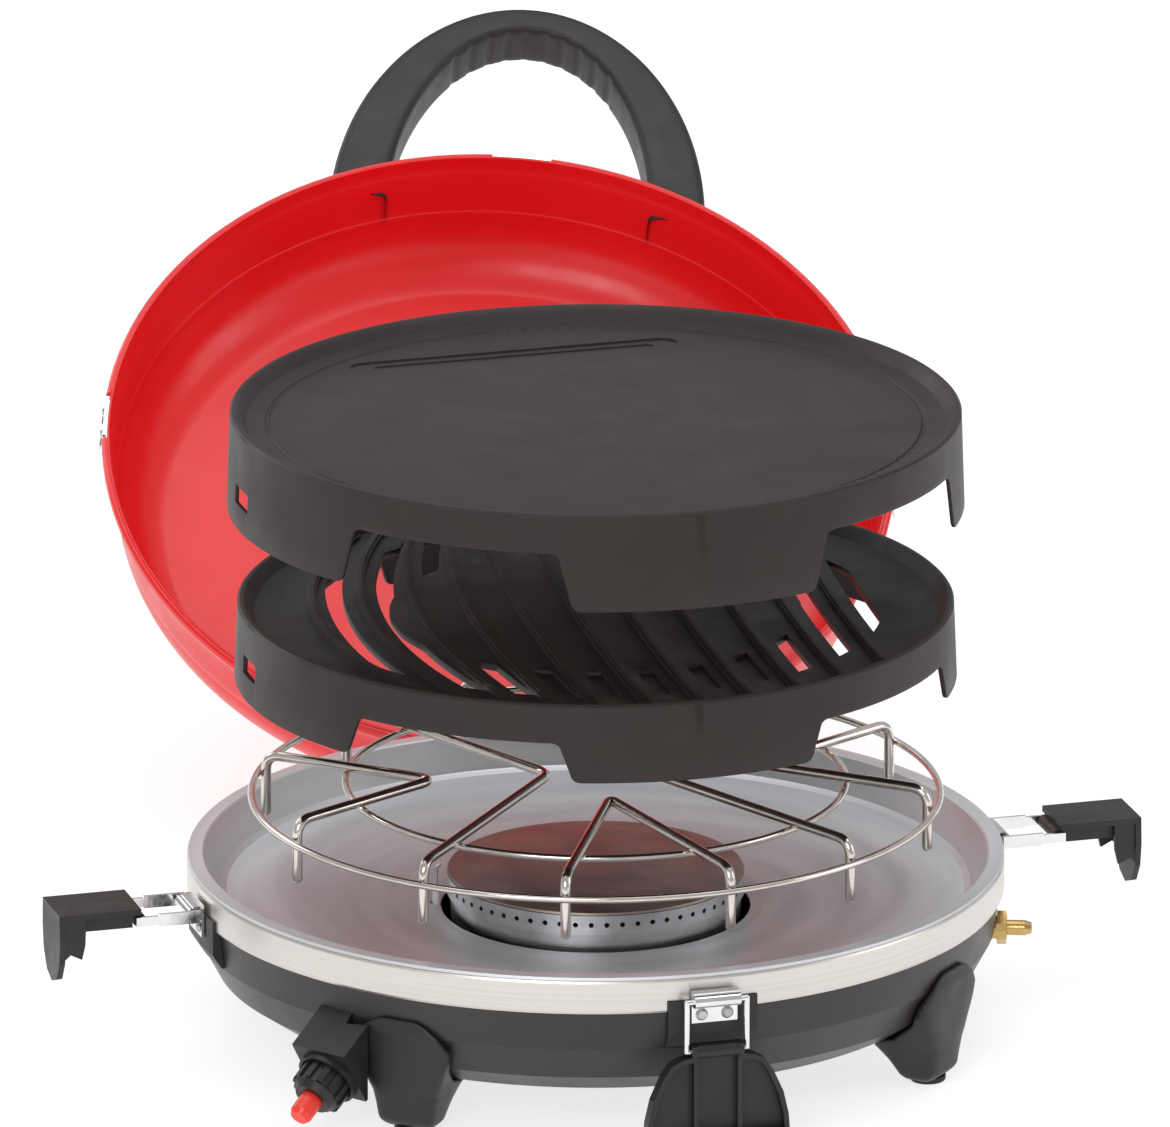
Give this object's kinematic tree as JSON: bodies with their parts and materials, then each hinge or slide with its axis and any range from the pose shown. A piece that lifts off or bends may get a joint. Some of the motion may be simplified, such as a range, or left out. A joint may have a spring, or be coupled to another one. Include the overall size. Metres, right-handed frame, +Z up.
{
  "type": "camp stove",
  "caption": "Round table-top gas camp stove with hinged domed lid, arched handle, over-centre latches, wire support, ribbed grill plate, flat griddle and ring burner.",
  "frame": {"origin": "centre of the circle of feet, on the table under the burner's axis", "axes": "+Z up, -Y to the front latch and carrying handle side, +X to the right latch"},
  "size_m": [0.482, 0.7733, 0.2875],
  "materials": {
    "charcoal_enamel": "satin",
    "band_metal": "satin",
    "pan_metal": "spun satin",
    "black_plastic": "satin",
    "foot_rubber": "matte",
    "plain_steel": "satin",
    "chrome_steel": "polished",
    "nickel_wire": "polished",
    "plain_brass": "satin",
    "red_plastic": "gloss",
    "lead_sleeve": "matte",
    "ceramic": "glazed",
    "plate_coating": "satin non-stick coating",
    "red_enamel": "gloss"
  },
  "bodies": {
    "base": {"base_shell": "charcoal_enamel", "rim_band": "band_metal", "drip_pan": "pan_metal", "leg_front_right": "black_plastic", "leg_back_right": "black_plastic", "leg_back_left": "black_plastic", "leg_front_left": "black_plastic", "foot_pads": "foot_rubber", "leg_screws": "plain_steel", "latch_seats": "black_plastic", "burner_cup": "pan_metal", "burner_cap": "plain_steel", "burner_bracket": "plain_steel", "mixing_tube": "plain_steel", "gas_jet": "plain_brass", "gas_pipe": "plain_brass", "valve_body": "plain_brass", "valve_pod": "black_plastic", "piezo_igniter": "ceramic", "igniter_lead": "lead_sleeve", "electrode_ceramic": "ceramic", "electrode_pin": "plain_steel", "hose_barb": "plain_brass", "inlet_nut": "plain_brass", "hinge_base_leaf": "chrome_steel", "hinge_pin": "plain_steel", "hinge_rivets": "plain_steel", "latch_bracket_front": "chrome_steel", "latch_bracket_left": "chrome_steel", "latch_bracket_right": "chrome_steel", "latch_rivets": "plain_steel"},
    "lid": {"lid_shell": "red_enamel", "lid_rim_bead": "red_enamel", "lid_handle": "black_plastic", "handle_screws": "plain_steel", "hinge_lid_leaf": "chrome_steel", "hinge_lid_rivets": "plain_steel", "lid_catch_front": "chrome_steel", "lid_catch_left": "chrome_steel", "lid_catch_right": "chrome_steel", "catch_rivets": "plain_steel"},
    "support": {"support_wires_left": "nickel_wire", "support_wires_right": "nickel_wire", "support_wires_ends": "nickel_wire", "support_outer_ring": "nickel_wire", "support_inner_ring": "nickel_wire"},
    "grill": {"grill_plate": "plate_coating"},
    "griddle": {"griddle_plate": "plate_coating"},
    "dial": {"control_dial": "black_plastic"},
    "button": {"igniter_button": "red_plastic"},
    "front_bail": {"bail_front": "chrome_steel"},
    "left_bail": {"bail_left": "chrome_steel"},
    "right_bail": {"bail_right": "chrome_steel"},
    "front_lever": {"lever_front": "black_plastic"},
    "left_lever": {"lever_left": "black_plastic"},
    "right_lever": {"lever_right": "black_plastic"}
  },
  "joints": [
    {"name": "lid_hinge", "type": "hinge", "parent": "base", "child": "lid", "pos_m": [0.02926, 0.18065, 0.066], "axis": [-0.9871, 0.1599, 0], "range_deg": [-148, 0]},
    {"name": "support_lift", "type": "slide", "parent": "base", "child": "support", "axis": [0, 0, 1], "range_m": [-0.0236, 0]},
    {"name": "grill_lift", "type": "slide", "parent": "base", "child": "grill", "axis": [0, 0, 1], "range_m": [-0.0904, 0]},
    {"name": "griddle_lift", "type": "slide", "parent": "base", "child": "griddle", "axis": [0, 0, 1], "range_m": [-0.1645, 0]},
    {"name": "dial_turn", "type": "hinge", "parent": "base", "child": "dial", "pos_m": [-0.11812, -0.08582, 0.0485], "axis": [-0.6861, -0.4985, -0.5299], "range_deg": [0, 180]},
    {"name": "button_press", "type": "slide", "parent": "base", "child": "button", "axis": [0.6861, 0.4985, 0.5299], "range_m": [0, 0.004], "stiffness_N_per_m": 400},
    {"name": "front_bail_hinge", "type": "hinge", "parent": "base", "child": "front_bail", "pos_m": [0, -0.181, 0.068], "axis": [1, 0, 0], "range_deg": [-180, 0]},
    {"name": "front_lever_hinge", "type": "hinge", "parent": "front_bail", "child": "front_lever", "pos_m": [0, -0.181, 0.046], "axis": [1, 0, 0], "range_deg": [-12, 20]},
    {"name": "left_bail_hinge", "type": "hinge", "parent": "base", "child": "left_bail", "pos_m": [-0.181, 0, 0.068], "axis": [0, -1, 0], "range_deg": [-90, 90]},
    {"name": "left_lever_hinge", "type": "hinge", "parent": "left_bail", "child": "left_lever", "pos_m": [-0.205, 0, 0.068], "axis": [0, -1, 0], "range_deg": [-8, 8]},
    {"name": "right_bail_hinge", "type": "hinge", "parent": "base", "child": "right_bail", "pos_m": [0.181, 0, 0.068], "axis": [0, 1, 0], "range_deg": [-90, 90]},
    {"name": "right_lever_hinge", "type": "hinge", "parent": "right_bail", "child": "right_lever", "pos_m": [0.205, 0, 0.068], "axis": [0, 1, 0], "range_deg": [-8, 8]}
  ],
  "couplings": [
    {"joint": "support_lift", "follows": "lid_hinge", "m_per_rad": 0.00913},
    {"joint": "grill_lift", "follows": "lid_hinge", "m_per_rad": 0.03499},
    {"joint": "griddle_lift", "follows": "lid_hinge", "m_per_rad": 0.06368}
  ]
}
